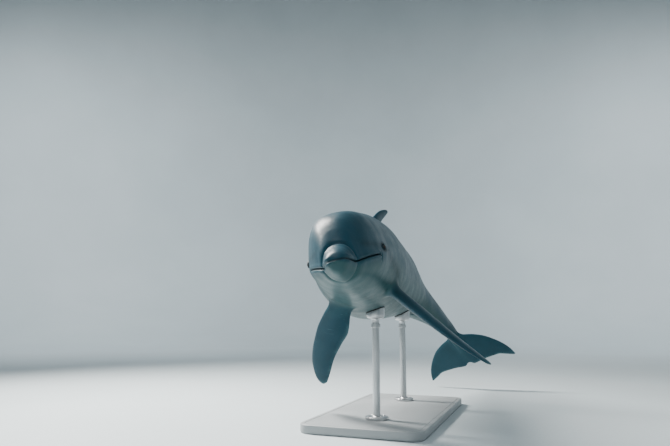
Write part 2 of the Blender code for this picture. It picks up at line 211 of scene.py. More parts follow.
# ---- the bent spine ----
def turn(axis, degrees):
    """Rotation matrices about one axis; degrees is one number or a row of them."""
    a = np.radians(np.atleast_1d(degrees))
    c, s = np.cos(a), np.sin(a)
    out = np.zeros((len(a), 3, 3))
    i, j = {"x": (1, 2), "y": (2, 0), "z": (0, 1)}[axis]
    out[:, 3 - i - j, 3 - i - j] = 1
    out[:, i, i] = c
    out[:, j, j] = c
    out[:, i, j] = -s
    out[:, j, i] = s
    return out


def chest_axes():
    heading, rise, bank = np.radians((HEADING, RISE, BANK))
    forward = np.array((math.sin(heading) * math.cos(rise), -math.cos(heading) * math.cos(rise),
                        math.sin(rise)))
    level_left = np.cross((0, 0, 1), forward)
    level_left /= np.linalg.norm(level_left)
    left = level_left * math.cos(bank) + np.cross(forward, level_left) * math.sin(bank)
    return np.stack([left, np.cross(forward, left), forward], 1)


def axes_at(s):
    """Columns: left, up and forward at each distance s behind the beak tip."""
    s = np.atleast_1d(s)
    down, swing = sum(np.outer(bend, ease(s, start, end - start)) for start, end, *bend in BENDS)
    twist = TWIST * ease(s, TWIST_FROM, TWIST_OVER)
    level = HEAD_TURN * (1 - ease(s, HEAD_TURN_FROM, HEAD_TURN_OVER))
    return chest_axes() @ turn("z", -level) @ turn("y", -swing) @ turn("x", -down) @ turn("z", twist)


def box_middle(node):
    low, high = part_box(node)
    return np.array((low + high) / 2)


EYES_AT = (box_middle("eye_left") + box_middle("eye_right")) / 2


def make_spine():
    count = round((LENGTH + SPINE_EXTRA) / SPINE_STEP) + 1
    axes = axes_at(np.arange(count) * SPINE_STEP)
    forward = axes[:, :, 2]
    points = np.zeros((count, 3))
    points[1:] = -np.cumsum((forward[1:] + forward[:-1]) * (SPINE_STEP / 2), 0)
    between_eyes = points[0] - forward[0] * EYES_BEHIND + axes[0][:, 1] * EYES_UP
    return points + EYES_AT - between_eyes, axes


SPINE, AXES = make_spine()


def place(straight):
    """The posed places of points given as rows of (behind, left, up)."""
    s, left, up = np.moveaxis(np.asarray(straight, float), -1, 0)
    i = np.clip((s / SPINE_STEP).astype(int), 0, len(SPINE) - 2)
    t = np.where(s < 0, 0, s / SPINE_STEP - i)[..., None]
    middle = SPINE[i] * (1 - t) + SPINE[i + 1] * t
    side = AXES[i, :, 0] * (1 - t) + AXES[i + 1, :, 0] * t
    rise = AXES[i, :, 1] * (1 - t) + AXES[i + 1, :, 1] * t
    ahead = np.where(s < 0, -s, 0)[..., None] * AXES[0, :, 2]
    return middle + side * left[..., None] + rise * up[..., None] + ahead


def body_section(s, angle):
    """(left, up) of the plain body at an angle from the left side, counted upwards."""
    headness = smooth((HEAD_SHAPE_ENDS - s) / HEAD_SHAPE_FADES)
    melon = ease(s, MELON_FROM, MELON_OVER) * headness
    across, above = np.cos(angle), np.sin(angle)
    middle = widest_line(s)
    over = above > 0
    power = np.where(over, BODY_ROUNDNESS_TOP + HEAD_SQUARENESS * melon,
                     BODY_ROUNDNESS_BELOW - CHIN_SHARPNESS * headness)
    tall = np.where(over, top_line(s) - middle, middle - bottom_line(s))
    taper = 1 - np.where(over, CHEEK_TAPER * melon * above * np.abs(across) ** 3, 0)
    reach = (np.abs(across) ** power + np.abs(above) ** power) ** (-1 / power)
    return half_width(s) * taper * across * reach, tall * above * reach + middle


# ---- the surface details of the body, in metres ----
COLUMNS = 400             # round the body
CLOSE_COLUMNS = 120       # of those, on each side, close together along the lips and the eye
CLOSE_BELOW = 0.09        # the close zone, as an angle below and above the widest line
CLOSE_ABOVE = 0.27
CLOSE_RIM = 0.10
ANGLE_SAMPLES = 4001
BELLY_LINE = 1.5 * math.pi
CLOSE_FADES = (0.45, 0.30)
NOSE = 0.007              # length over which the beak tip is rounded
NOSE_ROWS = 40
STERN = 0.020             # and the length over which the body ends between the flukes
STERN_ROWS = 6
# Up to this far behind the beak tip, the rows stand this far apart.
ROW_STEPS = ((0.03, 0.0013), (0.12, 0.0018), (0.26, 0.0024), (0.305, 0.0016), (0.362, 0.0006),
             (0.50, 0.0028), (0.75, 0.0055), (2.6, 0.0080))

LIP_DEPTH = 0.0090
LIP_WIDTH = 0.0027
LIP_SWELL = 0.0019
LIP_SWELL_AT = 0.0105
LIP_SWELL_WIDTH = 0.0060
MOUTH_HOOK = 0.0065       # the corner of the mouth turns down this far
MOUTH_HOOK_OVER = 0.016
CORNER_FOLD = 0.0030
LIP_SLIM = 0.45           # the lips' size at the beak tip, as a share of the rest
LIP_SLIM_TO = 0.03
CREASE_AT = 0.0930        # between beak and melon
CREASE_BOW = 0.006        # and how much further back it lies at the sides
# Folds beside one another: how far behind a line, how wide, how much they raise the skin.
MELON_FOLDS = ((0, 0.0062, -0.0075), (-0.019, 0.013, 0.0034), (0.018, 0.012, 0.0016))
JAW_FOLDS = ((0, 0.0085, -0.0065), (-0.024, 0.018, 0.0022), (0.026, 0.020, 0.0020))
# The same round the eye, where one is the rim of the opening between the lids.
LID_FOLDS = ((1.75, 0.22, -0.0014), (2.5, 0.25, -0.00084), (2.1, 0.24, 0.0007), (2.9, 0.3, 0.00042))
EYE_INSIDE = 0.0030       # the skin behind the opening lies this far inside the eyeball
EYE_LONG = 0.0134         # half the length of the opening between the lids
EYE_TALL_ABOVE = 0.0080
EYE_TALL_BELOW = 0.0070
LID_THICK = 0.0016
LID_FROM = 0.90           # the lid's edge is rounded from this ring on, over this much
LID_OVER = 0.22
LID_SOFT = 0.0012         # how softly the lids run out onto the cheek
OPENING_FADES = (0.86, 0.10)
LIDS_FADE = (2.8, 1.4)
EAR_BEHIND = 0.398
EAR_UP = -0.030
EAR_DEPTH = 0.0022
EAR_WIDTH = 0.0028
BLOWHOLE_BEHIND = 0.462
BLOWHOLE_HALF = 0.024
BLOWHOLE_BOW = 0.011
BLOWHOLE_DEPTH = 0.0075
BLOWHOLE_WIDTH = 0.0035
BLOWHOLE_FOLDS = ((-0.015, 0.012, 0.0030), (0.012, 0.009, 0.0022))
BLOWHOLE_FOLD_HALF = 0.034
NAVEL_BEHIND = 1.170
NAVEL_DEPTH = 0.004
NAVEL_WIDTH = 0.012
SLITS = ((1.585, 1.715, 0.0042), (1.775, 1.800, 0.0030))    # from, to, depth
SLIT_WIDTH = 0.0042
SLIT_LIPS = 0.012
SLIT_LIPS_WIDTH = 0.006
SLIT_ENDS = 0.03          # a long slit fades over this at its ends; a short one is a dimple

# ---- the eyes and the stand, in metres ----
EYE_ROWS = 44
EYE_COLUMNS = 64
CORNEA = 0.0009
GAZE_SIDE, GAZE_AHEAD, GAZE_UP = 0.97, 0.20, -0.12
BASE_LENGTH = 1.05
BASE_WIDTH = 0.52
BASE_CORNER = 0.060
BASE_SOFT = 0.004
BASE_GROOVE = 0.018
BASE_TURN = 21.0
ROD_RADIUS = 0.016
FOOT_RADIUS = 0.050
FOOT_THICK = 0.012
SCREW_CIRCLE = 0.0375
CUP_RADIUS = 0.040
CUP_BELOW = 0.022         # from the bottom of the cup up to the lowest skin over it
PAD_THICK = 0.005
PAD_SUNK = 0.004          # how far the pad presses into the skin
ROUND_FACETS = 96
SLAB_FOOT = ((0.010, 0), (0.003, 0.0015), (0.0004, 0.006), (0, 0.012))  # in from the edge, up
GROOVE = ((0, 0), (0.0005, -0.0012), (0.0025, -0.0012), (0.0030, 0))
SLAB_TOP = (0.05, 0.12, 0.20, 0.255)
CLAMP_RING = ((0, -0.040), (0.0035, -0.0395), (0.0050, -0.038), (0.0050, -0.0250),
              (0.0035, -0.0235), (0, -0.0230), (0, -0.018))             # out of the rod, up
CUP_FOOT = ((-0.008, 0.0005), (-0.003, 0.003), (-0.0012, 0.006), (-0.0012, 0.010))
SCREW = ((0.0046, -0.001), (0.0046, 0.0026), (0.0040, 0.0032), (0.0024, 0.0032),
         (0.0022, 0.0010), (0.0002, 0.0008))                            # radius, up
CUP_INSIDE = 0.030
CUP_WALL = ((-0.0015, 0.0), (-0.0003, 0.06), (0, 0.2), (0, 0.8), (-0.0004, 0.96), (-0.0015, 1.0))
PAD_INSIDE = 0.012
PAD_WALL = ((-0.0010, 0.0), (0.0004, 0.12), (0.0008, 0.45), (0.0004, 0.7), (-0.003, 1.0))

ROOT_REACH = 0.050        # the hollow at a fin's root fades out over this distance
ROOT_ROUNDS = 70
ROOT_PULL = 0.6

# ---- the unwrap ----
UNWRAP = "OFBake"
HEAD_EXTRA = 1.0          # the head gets this much more room
HEAD_EXTRA_TO = 0.5
MAP_RIM = 0.005
BODY_ON_MAP = (MAP_RIM, 0.70)
FINS_ON_MAP = (0.72, 1 - MAP_RIM)
FIN_STRIP = 0.2           # each fin's width on the map
WHOLE_MAP = (0.01, 0.99)
ROD_ON_MAP = (0.01, 0.60)
CUP_ON_MAP = (0.62, 0.99)
SCREWS_ON_MAP = (0.64, 0.98)

# ---- markings: where the pale belly and the dark cape end, on the flank's height ----
belly_edge = curve([(0, -0.35), (0.10, -0.30), (0.25, -0.25), (0.5, -0.35), (0.9, -0.50), (1.4, -0.45),
                    (1.8, -0.55), (2.2, -0.9), (2.5, -1.3)])
cape_edge = curve([(0, 0.15), (0.10, 0.10), (0.25, 0.05), (0.5, 0.25), (0.9, 0.50), (1.4, 0.45),
                   (1.8, 0.20), (2.2, 0.0), (2.5, -0.3)])
MARKS = ("tone", "dark", "wear")
BELLY_FADE = 0.55
CAPE_FADE = 0.50
ROOT_TONE_TO = 0.06       # a fin keeps the tone of its root up to this share of its span
ROOT_TONE_FADES = 0.16
WORN_EDGE = 0.010
WORN_TIP = 0.6
EYE_PATCH = 0.97          # how dark the markings are
BRIDLE = 0.35
STRIPE = 0.42
BRIDLE_SLOPE = 0.05
BRIDLE_WIDTH = 0.013
BRIDLE_FROM = (0.12, 0.05)
BRIDLE_TO = (0.33, 0.02)
STRIPE_SLOPE = 0.36
STRIPE_WIDTH = 0.024
STRIPE_FROM = (0.34, 0.05)
STRIPE_TO = (0.62, 0.08)


def body_angles(s):
    """The angles of the body's columns for each row, closer together at lips and eyes."""
    fine = np.linspace(0, math.tau, ANGLE_SAMPLES)
    mirrored = np.mod(math.pi - fine, math.tau)
    close = np.zeros_like(fine)
    for angle in (fine, mirrored):
        signed = np.mod(angle + math.pi, math.tau) - math.pi
        close += (smooth((signed + CLOSE_BELOW + CLOSE_RIM) / CLOSE_RIM)
                  * smooth((CLOSE_ABOVE + CLOSE_RIM - signed) / CLOSE_RIM))
    zone = CLOSE_BELOW + CLOSE_ABOVE
    share = CLOSE_COLUMNS / zone / ((COLUMNS - 2 * CLOSE_COLUMNS) / (math.tau - 2 * zone)) - 1
    density = 1 + share * close
    total = np.concatenate([[0], np.cumsum((density[1:] + density[:-1]) / 2)])
    total /= total[-1]
    # columns start and end on the belly line, where the seam of the unwrap lies
    start = np.interp(BELLY_LINE, fine, total)
    wanted = np.mod(start + np.arange(COLUMNS) / COLUMNS, 1)
    closely = np.interp(wanted, total, fine)
    evenly = np.mod(BELLY_LINE + math.tau * np.arange(COLUMNS) / COLUMNS, math.tau)
    apart = np.mod(evenly - closely + math.pi, math.tau) - math.pi
    blend = ease(s, *CLOSE_FADES)
    return closely + apart * blend[:, None]


def body_rows():
    """Where the rows stand, and how much each is drawn in at the beak tip and between the flukes."""
    rows = [NOSE]
    while rows[-1] < LENGTH - STERN:
        rows.append(rows[-1] + next(step for limit, step in ROW_STEPS if rows[-1] < limit))
    rows[-1] = LENGTH - STERN
    nose = np.arange(1, NOSE_ROWS) / NOSE_ROWS * math.pi / 2
    stern = np.arange(1, STERN_ROWS) / STERN_ROWS * math.pi / 2
    s = np.concatenate([NOSE * (1 - np.sin(nose)[::-1]), rows, LENGTH - STERN * (1 - np.sin(stern))])
    drawn = np.concatenate([np.cos(nose)[::-1], np.ones(len(rows)), np.cos(stern)])
    return s, drawn


def surface_normals(points):
    """Outward normals of a grid of points, whose columns run round."""
    along = np.gradient(points, axis=0)
    around = np.roll(points, -1, 1) - np.roll(points, 1, 1)
    normal = np.cross(around, along)
    return normal / np.maximum(np.linalg.norm(normal, axis=-1, keepdims=True), 1e-12)


def lip_height(s, up):
    """Height above the line of the lips, which hooks down at the corner of the mouth."""
    hook = MOUTH_HOOK * ease(s, MOUTH_END - MOUTH_HOOK_OVER, MOUTH_HOOK_OVER)
    return up - widest_line(s) + hook


def above_eyeball(points, normals):
    """How far each point must rise along its normal to reach the eyeball's surface."""
    middle = np.array((EYES_BEHIND, half_width(EYES_BEHIND) + EYE_BULGE - EYE_RADIUS, EYES_UP))
    near = points.copy()
    near[..., 1] = np.abs(near[..., 1])
    aside = near - middle
    facing = normals.copy()
    facing[..., 1] = np.where(points[..., 1] < 0, -facing[..., 1], facing[..., 1])
    rise = (aside * facing).sum(-1)
    inside = rise ** 2 - (aside ** 2).sum(-1) + EYE_RADIUS ** 2
    return np.where(inside > 0, np.sqrt(np.maximum(inside, 0)), 0) - rise


def folds(distance, kinds):
    return sum(height * bump(distance - at, width) for at, width, height in kinds)


def blowhole_line(s, left):
    """How far behind the bowed slit of the blowhole."""
    return s - BLOWHOLE_BEHIND + BLOWHOLE_BOW * (left / BLOWHOLE_HALF) ** 2


def body_relief(s, angle, left, up, to_ball):
    """How far details raise or sink the skin."""
    height = lip_height(s, up)
    mouth = 1 - ease(s, MOUTH_END - 0.004, 0.008)
    slim = LIP_SLIM + (1 - LIP_SLIM) * smooth(s / LIP_SLIM_TO)
    relief = -LIP_DEPTH * slim * mouth * bump(height, LIP_WIDTH)
    relief += LIP_SWELL * slim * mouth * bump(np.abs(height) - LIP_SWELL_AT, LIP_SWELL_WIDTH)
    corner = np.hypot((s - MOUTH_END - 0.006) / 0.006, (height + 0.004) / 0.016)
    relief -= CORNER_FOLD * bump(corner, 1)

    above = smooth(height / 0.012)
    relief += above * folds(s - CREASE_AT - CREASE_BOW * np.cos(angle) ** 2, MELON_FOLDS)
    side = smooth(-height / 0.010) * (0.25 + 0.75 * smooth(np.abs(np.cos(angle)) / 0.7))
    jaw_crease = CREASE_AT + 0.004 + 0.25 * np.maximum(-height, 0)
    relief += side * folds(s - jaw_crease, JAW_FOLDS)

    ring = eye_ring(s, up)
    edge = LID_THICK * np.sqrt(np.clip((ring - LID_FROM) / LID_OVER, 0, 1))
    lid = LID_SOFT * np.logaddexp((to_ball + edge) / LID_SOFT, 0) + folds(ring, LID_FOLDS)
    inside = 1 - ease(ring, *OPENING_FADES)
    around_eye = 1 - ease(ring, *LIDS_FADE)
    relief += around_eye * (lid * (1 - inside) + (to_ball - EYE_INSIDE) * inside)

    relief -= EAR_DEPTH * bump(np.hypot(s - EAR_BEHIND, up - EAR_UP), EAR_WIDTH)

    on_top = (up > 0) * (1 - ease(np.abs(left), BLOWHOLE_HALF, 0.006))
    slit = blowhole_line(s, left)
    relief -= BLOWHOLE_DEPTH * on_top * bump(slit, BLOWHOLE_WIDTH)
    relief += (up > 0) * bump(left, BLOWHOLE_FOLD_HALF) * folds(slit, BLOWHOLE_FOLDS)

    below = (up < 0)
    relief -= below * NAVEL_DEPTH * bump(np.hypot(s - NAVEL_BEHIND, left * 1.6), NAVEL_WIDTH)
    across = bump(left, SLIT_WIDTH) - 0.5 * bump(np.abs(left) - SLIT_LIPS, SLIT_LIPS_WIDTH)
    for start, end, depth in SLITS:
        length = bump(s - (start + end) / 2, (end - start) / 2)
        if end - start > 2 * SLIT_ENDS:
            length = ease(s, start, SLIT_ENDS) * smooth((end - s) / SLIT_ENDS)
        relief -= below * depth * length * across
    return relief


def body_height(s, up):
    """Height on the flank: -1 on the belly line, 0 at the widest line, 1 on the back."""
    middle = widest_line(s)
    tall = np.where(up > middle, top_line(s) - middle, middle - bottom_line(s))
    return (up - middle) / np.maximum(tall, 1e-4)


def eye_ring(s, up):
    """Distance from the eye's middle, where one is the rim of the opening between the lids."""
    back, high = s - EYES_BEHIND, up - EYES_UP
    return np.hypot(back / EYE_LONG, high / np.where(high > 0, EYE_TALL_ABOVE, EYE_TALL_BELOW))


def body_marks(s, left, up):
    """tone: 0 pale belly, 0.5 flank, 1 dark back; dark: a dark lip line that is also painted shade in the
    mouth's groove, the eye patch, the stripes, and painted shade in the blowhole's slit.
    """
    level = body_height(s, up)
    belly = smooth((level - belly_edge(s)) / BELLY_FADE + 0.5)
    cape = smooth((level - cape_edge(s)) / CAPE_FADE + 0.5)
    height = lip_height(s, up)
    mouth = 1 - ease(s, MOUTH_END + 0.002, 0.010)
    # a dark lip line laid along the mouth's groove, so it is also painted shade in the groove
    lips = mouth * bump(height, 0.0026)
    ring = eye_ring(s, up)
    patch = EYE_PATCH * (1 - ease(ring, 1.5, 2.0))
    # from the eye forward to the foot of the melon, and back to the flipper
    line = EYES_UP + 0.004 + (EYES_BEHIND - s) * BRIDLE_SLOPE
    bridle = BRIDLE * bump(up - line, BRIDLE_WIDTH) * ease(s, *BRIDLE_FROM) * (1 - ease(s, *BRIDLE_TO))
    drop = EYES_UP - (s - EYES_BEHIND) * STRIPE_SLOPE
    stripe = STRIPE * bump(up - drop, STRIPE_WIDTH) * ease(s, *STRIPE_FROM) * (1 - ease(s, *STRIPE_TO))
    # painted shade: the blowhole's slit is darkened where it sinks into the skin
    beyond = np.maximum(np.abs(left) - BLOWHOLE_HALF, 0)
    blowhole_shade = bump(np.hypot(blowhole_line(s, left), beyond), 0.004) * (up > 0)
    # dark markings, together with the painted shade in the mouth's groove and in the blowhole
    dark = np.maximum.reduce([lips, patch, bridle, stripe, blowhole_shade])
    return {"tone": 0.5 * belly + 0.5 * cape, "dark": dark, "wear": np.zeros_like(s)}


def body_grid():
    """Straight points of the body's skin, with the nose and the stern closed, and its marks."""
    s, drawn = body_rows()
    angle = body_angles(s)
    s = np.repeat(s[:, None], COLUMNS, 1)
    left, up = body_section(s, angle)
    middle = widest_line(s)
    left = left * drawn[:, None]
    up = middle + (up - middle) * drawn[:, None]
    height = lip_height(s, up)
    lead = JAW_LEAD * np.maximum(0, 1 - s / JAW_LEAD_FADES) * smooth(0.5 - height / 0.006)
    points = np.stack([s - lead, left, up], -1)
    normals = surface_normals(points)
    relief = body_relief(s, angle, left, up, above_eyeball(points, normals))
    raised = points + normals * relief[..., None]
    marks = body_marks(s, left, up) | {"straight": raised, "fin": np.zeros_like(s)}
    share = (s + HEAD_EXTRA * np.minimum(s, HEAD_EXTRA_TO)) / (LENGTH + HEAD_EXTRA * HEAD_EXTRA_TO)
    return raised, marks, share[:, 0] * (1 - 2 * MAP_RIM) + MAP_RIM, BODY_ON_MAP


def fin_grid(front, rear, thick, tip_thick, carry, tones, number):
    """Posed points of a fin, root to tip, and its marks; the last part of its span is rounded.
    Along a row, q goes from the front edge (0) to the rear edge (1) and back below."""
    out = np.sin(math.pi / 2 * np.arange(FIN_ROWS) / FIN_ROWS)
    rounding = np.sin(math.pi / 2 * np.arange(1, FIN_CAP_ROWS + 1) / FIN_CAP_ROWS)
    out = np.concatenate([out[out < 1 - FIN_CAP], 1 - FIN_CAP + FIN_CAP * rounding])[:, None]
    q = (1 - np.cos(math.pi * np.arange(FIN_COLUMNS + 1) / FIN_COLUMNS)) / 2
    q = np.concatenate([q, q[-2:0:-1]])
    sign = np.where(np.arange(2 * FIN_COLUMNS) <= FIN_COLUMNS, 1.0, -1.0)
    last = np.clip((out - 1 + FIN_CAP) / FIN_CAP, 0, 1)
    shrink = np.sqrt(np.maximum(1 - last ** 2, 1e-4))
    start, end = curve(front)(out), curve(rear)(out)
    middle, half = (start + end) / 2, (end - start) / 2 * shrink
    full = (thick * (1 - out) ** FIN_THINNING + tip_thick) / 2 * shrink
    swell = np.maximum(np.sin(math.pi * q ** FIN_THICKEST), 0) ** FIN_FULLNESS
    side = sign * (full * swell + EDGE_THICK / 2 * q * shrink)
    back = middle + half * (2 * q - 1)
    out = out + 0 * back
    upper_tone, lower_tone, root_tone = tones
    tone = np.where(sign > 0, upper_tone, lower_tone)
    tone = root_tone + (tone - root_tone) * ease(out, ROOT_TONE_TO, ROOT_TONE_FADES)
    edge = (1 - q) * (end - start)
    wear = bump(edge, WORN_EDGE) * ease(out, 0.05, 0.1) + WORN_TIP * bump(1 - out, 0.05)
    marks = {"tone": tone, "dark": np.zeros_like(back), "wear": np.clip(wear, 0, 1),
             "straight": np.stack([number * 0.7 + back, side, 1 + out * 0.5], -1),
             "fin": np.ones_like(back)}
    across = FIN_STRIP * number + MAP_RIM + (FIN_STRIP - 2 * MAP_RIM) * out[:, 0]
    return carry(back, out, side), marks, across, FINS_ON_MAP


def carry_dorsal(back, out, side):
    under_skin = top_line(DORSAL_BEHIND + back) - DORSAL_SUNK
    foot = under_skin + (DORSAL_FOOT - under_skin) * smooth(out / DORSAL_FOOT_FADES)
    return place(np.stack([DORSAL_BEHIND + back, side + DORSAL_LEAN * out ** 2,
                           foot + DORSAL_HEIGHT * out], -1))


def carry_fluke(sign):
    lift = math.radians(FLUKE_LIFT)

    def carry(back, out, side):
        reach = FLUKE_SPAN * out
        return place(np.stack([LENGTH + back, sign * reach * math.cos(lift),
                               side + reach * math.sin(lift)], -1))

    return carry


def carry_flipper(sign, turns):
    sweep, lower, twist = np.radians(turns)
    out_way = np.array((math.cos(lower) * math.cos(sweep), -math.sin(lower),
                        -math.cos(lower) * math.sin(sweep)))
    back_way = np.array((0, 0, -1.0))
    back_way -= out_way * (back_way @ out_way)
    back_way /= np.linalg.norm(back_way)
    turned_back = back_way * math.cos(twist) + np.cross(out_way, back_way) * math.sin(twist)
    turned_thick = np.cross(out_way, turned_back)
    axes = axes_at(FLIPPER_BEHIND)[0]
    left, up = body_section(FLIPPER_BEHIND, -math.radians(FLIPPER_ROOT_DROP))
    root = place((FLIPPER_BEHIND, sign * left, up))

    def carry(back, out, side):
        local = ((FLIPPER_LENGTH * out - FLIPPER_SUNK)[..., None] * out_way
                 + back[..., None] * turned_back + side[..., None] * turned_thick)
        return root + (local * (sign, 1, 1)) @ axes.T

    return carry


def read(items, name, kind=np.int32, each=1):
    """What all of a mesh's points, edges, corners or faces hold under a name."""
    values = np.zeros(len(items) * each, kind)
    items.foreach_get(name, values)
    return values


def linked(name, data):
    thing = bpy.data.objects.new(name, data)
    bpy.context.scene.collection.objects.link(thing)
    return thing


def grid_quads(rows, columns):
    """The faces of a grid of points whose columns run round."""
    near = np.arange(rows - 1)[:, None] * columns + np.arange(columns)
    beside = np.roll(near, -1, 1)
    return np.stack([near, beside, beside + columns, near + columns], -1).reshape(-1, 4)


def closed_mesh(name, grid, across=WHOLE_MAP, upright=WHOLE_MAP, **marks):
    """A closed mesh over a grid whose columns run round, its two ends drawn to a point.
    Its marks and its unwrap are kept at the corners of the faces, where a union keeps them."""
    rows, columns = grid.shape[:2]
    if len(across) == 2:
        across = np.linspace(*across, rows)

    def with_ends(values):
        flat = values.reshape(rows * columns, -1)
        ends = [row.mean(0, keepdims=True) for row in (flat[:columns], flat[-columns:])]
        return np.concatenate([flat, *ends])

    quads = grid_quads(rows, columns).tolist()
    first, last = rows * columns, rows * columns + 1
    end_row = (rows - 1) * columns
    for i in range(columns):
        j = (i + 1) % columns
        quads += [(first, j, i), (last, end_row + i, end_row + j)]
    mesh = bpy.data.meshes.new(name)
    mesh.from_pydata(with_ends(grid).tolist(), [], quads)
    form = bmesh.new()
    form.from_mesh(mesh)
    if form.calc_volume(signed=True) < 0:
        bmesh.ops.reverse_faces(form, faces=form.faces)
    form.to_mesh(mesh)
    form.free()

    corner_point = read(mesh.loops, "vertex_index")
    for mark, values in marks.items():
        kind, entry = ("FLOAT_VECTOR", "vector") if values.ndim == 3 else ("FLOAT", "value")
        field = mesh.attributes.new(mark, kind, "CORNER")
        field.data.foreach_set(entry, with_ends(values)[corner_point].astype(np.float32).ravel())

    sizes = read(mesh.polygons, "loop_total")
    face = np.repeat(np.arange(len(sizes)), sizes)
    column = np.where(corner_point < first, corner_point % columns, -1)
    row = np.minimum(corner_point // columns, rows - 1)
    row[corner_point == first] = 0
    has_first, has_last = np.zeros((2, len(sizes)), bool)
    has_first[face[column == 0]] = True
    has_last[face[column == columns - 1]] = True
    wraps = (has_last & has_first)[face]
    column = np.where(wraps & (column == 0), columns, column)
    highest = np.zeros(len(sizes), int)
    np.maximum.at(highest, face, column)
    column = np.where(column < 0, highest[face] - 0.5, column)
    low, high = upright
    unwrap = mesh.uv_layers.new(name=UNWRAP)
    unwrap.data.foreach_set("uv", np.stack(
        [across[row], low + (high - low) * column / columns], -1).astype(np.float32).ravel())

    return linked(name, mesh)


def united(body, fins):
    """The body with the fins grown onto it, as one closed mesh."""
    for fin in fins:
        step = body.modifiers.new("grow", "BOOLEAN")
        step.operation = "UNION"
        step.solver = "EXACT"
        step.object = fin
    bpy.context.view_layer.update()
    graph = bpy.context.evaluated_depsgraph_get()
    mesh = bpy.data.meshes.new_from_object(body.evaluated_get(graph))
    for thing in (body, *fins):
        bpy.data.objects.remove(thing)
    return linked("skin", mesh)


def relax_roots(mesh):
    """Rounds the creases at the fins' roots into soft hollows, and blends the markings there."""
    count = len(mesh.vertices)
    points = read(mesh.vertices, "co", float, 3).reshape(-1, 3)
    corner_point = read(mesh.loops, "vertex_index")
    corners = np.maximum(np.bincount(corner_point, minlength=count), 1)
    levels = {}
    for mark in ("fin", *MARKS):
        field = mesh.attributes[mark]
        values = read(field.data, "value", np.float32)
        mesh.attributes.remove(field)
        levels[mark] = np.bincount(corner_point, values, count) / corners
    joint = np.nonzero((levels["fin"] > 0.01) & (levels["fin"] < 0.99))[0]
    tree = KDTree(len(joint))
    for i in joint:
        tree.insert(points[i], int(i))
    tree.balance()
    distance = np.array([tree.find(point)[2] for point in points])
    weight = 1 - smooth(distance / ROOT_REACH)
    ends = read(mesh.edges, "vertices", each=2).reshape(-1, 2)
    ends = ends[(weight[ends] > 0).any(1)]
    ends = np.concatenate([ends, ends[:, ::-1]])
    neighbours = np.maximum(np.bincount(ends[:, 0], minlength=count), 1)
    relaxed = np.column_stack([points, *(levels[mark] for mark in MARKS)])
    for _ in range(ROOT_ROUNDS):
        total = np.stack([np.bincount(ends[:, 0], column[ends[:, 1]], count) for column in relaxed.T], 1)
        relaxed += (total / neighbours[:, None] - relaxed) * (ROOT_PULL * weight[:, None])
    mesh.vertices.foreach_set("co", relaxed[:, :3].ravel())
    for mark, values in zip(MARKS, relaxed[:, 3:].T):
        field = mesh.attributes.new(mark, "FLOAT", "POINT")
        field.data.foreach_set("value", values.astype(np.float32))
    mesh.update()


def make_skin():
    raised, marks, *unwrap = body_grid()
    body = closed_mesh("body_form", place(raised), *unwrap, **marks)
    flukes = FLUKE_FRONT, FLUKE_REAR, FLUKE_THICK, FLUKE_TIP_THICK
    flippers = FLIPPER_FRONT, FLIPPER_REAR, FLIPPER_THICK, FLIPPER_TIP_THICK
    fins = [
        ("dorsal", DORSAL_FRONT, DORSAL_REAR, DORSAL_THICK, DORSAL_TIP_THICK, carry_dorsal, DORSAL_TONES),
        ("fluke_l", *flukes, carry_fluke(1), FLUKE_TONES),
        ("fluke_r", *flukes, carry_fluke(-1), FLUKE_TONES),
        ("flipper_l", *flippers, carry_flipper(1, LEFT_FLIPPER), FLIPPER_TONES),
        ("flipper_r", *flippers, carry_flipper(-1, RIGHT_FLIPPER), FLIPPER_TONES),
    ]
    forms = []
    for number, (name, *fin) in enumerate(fins):
        points, marks, *unwrap = fin_grid(*fin, number)
        forms.append(closed_mesh(name, points, *unwrap, **marks))
    skin = united(body, forms)
    relax_roots(skin.data)
    skin.data.shade_smooth()
    skin.data.materials.clear()
    skin.data.materials.append(skin_material())
    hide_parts(*FLESH)
    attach(skin, "root")
    return skin


# ---- the eyes ----
def make_eye(name, node, sign):
    """An eyeball with a clear bulge over the iris; its gaze is kept for the iris's colours."""
    side, up, ahead = axes_at(EYES_BEHIND)[0].T
    gaze = side * sign * GAZE_SIDE + ahead * GAZE_AHEAD + up * GAZE_UP
    gaze /= np.linalg.norm(gaze)
    level = ahead - gaze * (ahead @ gaze)
    level /= np.linalg.norm(level)
    tall = np.cross(gaze, level)
    tall *= np.sign(tall @ up)
    from_gaze = math.pi * np.linspace(0.004, 0.996, EYE_ROWS)[:, None] ** 1.3
    round_gaze = math.tau * np.arange(EYE_COLUMNS) / EYE_COLUMNS
    radius = EYE_RADIUS - 0.0001 + CORNEA * bump(from_gaze, 0.50)
    across = np.sin(from_gaze) * np.cos(round_gaze)
    above = np.sin(from_gaze) * np.sin(round_gaze)
    out = np.cos(from_gaze) + 0 * round_gaze
    points = box_middle(node) + radius[..., None] * (
        across[..., None] * level + above[..., None] * tall + out[..., None] * gaze)
    ball = closed_mesh(name, points, gaze=np.stack([across, above, out], -1))
    ball.data.shade_smooth()
    ball.data.materials.append(eye_material())
    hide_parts(node)
    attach(ball, "root")


# ---- the stand ----
def turned(profile, at, facets=ROUND_FACETS):
    """The grid of a round piece: rows of (radius, height) about an upright line through a point."""
    profile = np.array(profile)
    angle = math.tau * np.arange(facets) / facets
    return np.stack([at[0] + profile[:, :1] * np.cos(angle), at[1] + profile[:, :1] * np.sin(angle),
                     profile[:, 1:] + 0 * angle], -1)


def arc(middle, radius, start, end, steps=6):
    """Rows of (radius, height) on part of a circle, angles in degrees from the level outward."""
    angle = np.radians(np.linspace(start, end, steps))
    return [(middle[0] + radius * math.cos(a), middle[1] + radius * math.sin(a)) for a in angle]


def soften(piece, degrees):
    """Smooth shading, but for edges sharper than this."""
    piece.data.shade_smooth()
    piece.data.set_sharp_from_angle(angle=math.radians(degrees))


